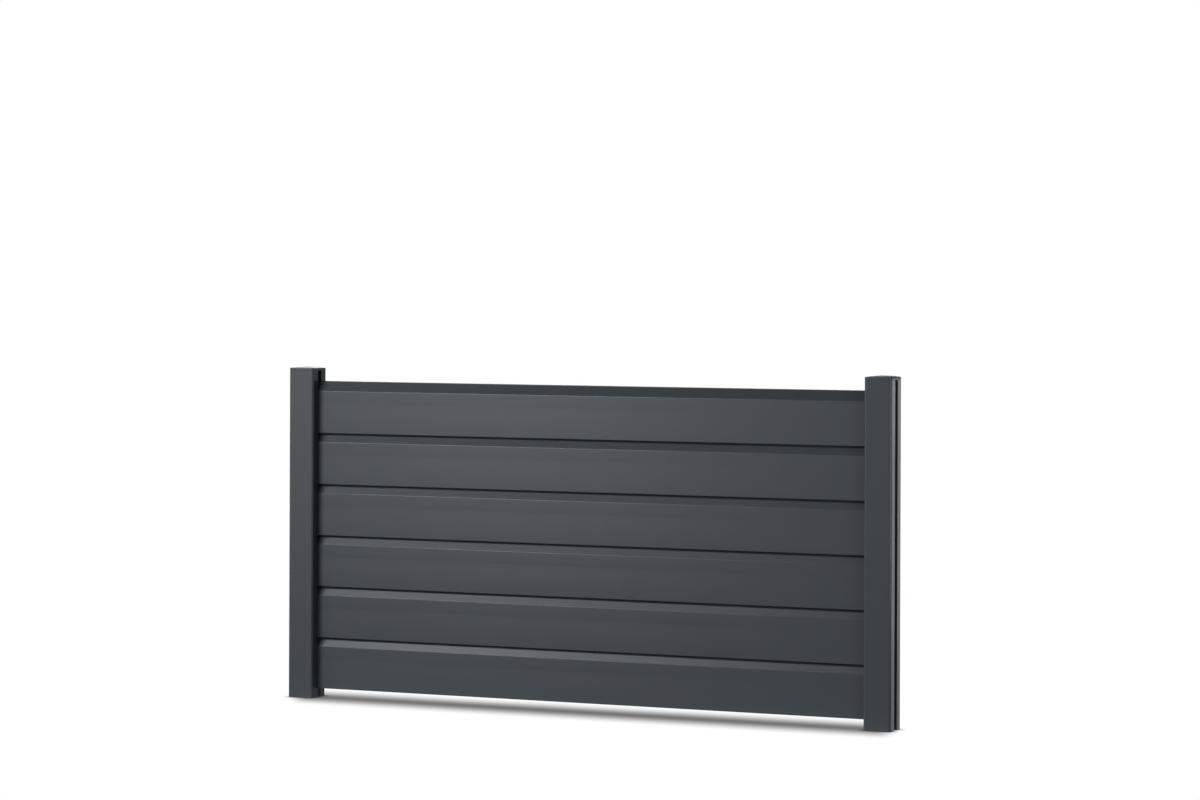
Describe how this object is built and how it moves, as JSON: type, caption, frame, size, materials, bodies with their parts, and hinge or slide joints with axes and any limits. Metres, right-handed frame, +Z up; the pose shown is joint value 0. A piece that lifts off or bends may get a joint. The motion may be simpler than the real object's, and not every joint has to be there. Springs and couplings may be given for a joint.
{
  "type": "louvred fence panel",
  "caption": "Fence bay of horizontal hollow boards with sloped top strips, stacked tongue in groove between two slotted square posts with flush caps.",
  "frame": {"origin": "centre of the left post's foot, on the ground", "axes": "+X along the fence from the left post to the right post, -Y out of the louvred front, +Z up"},
  "size_m": [1.88, 0.08, 0.972],
  "materials": {
    "post_coating": "satin",
    "board_coating": "satin",
    "cap_plastic": "satin",
    "spacer_plastic": "matte"
  },
  "bodies": {
    "root": {"left_post": "post_coating", "right_post": "post_coating", "left_post_cap": "cap_plastic", "right_post_cap": "cap_plastic", "board_1": "board_coating", "board_2": "board_coating", "board_3": "board_coating", "board_4": "board_coating", "board_5": "board_coating", "board_6": "board_coating", "left_spacer": "spacer_plastic", "right_spacer": "spacer_plastic"}
  },
  "joints": []
}
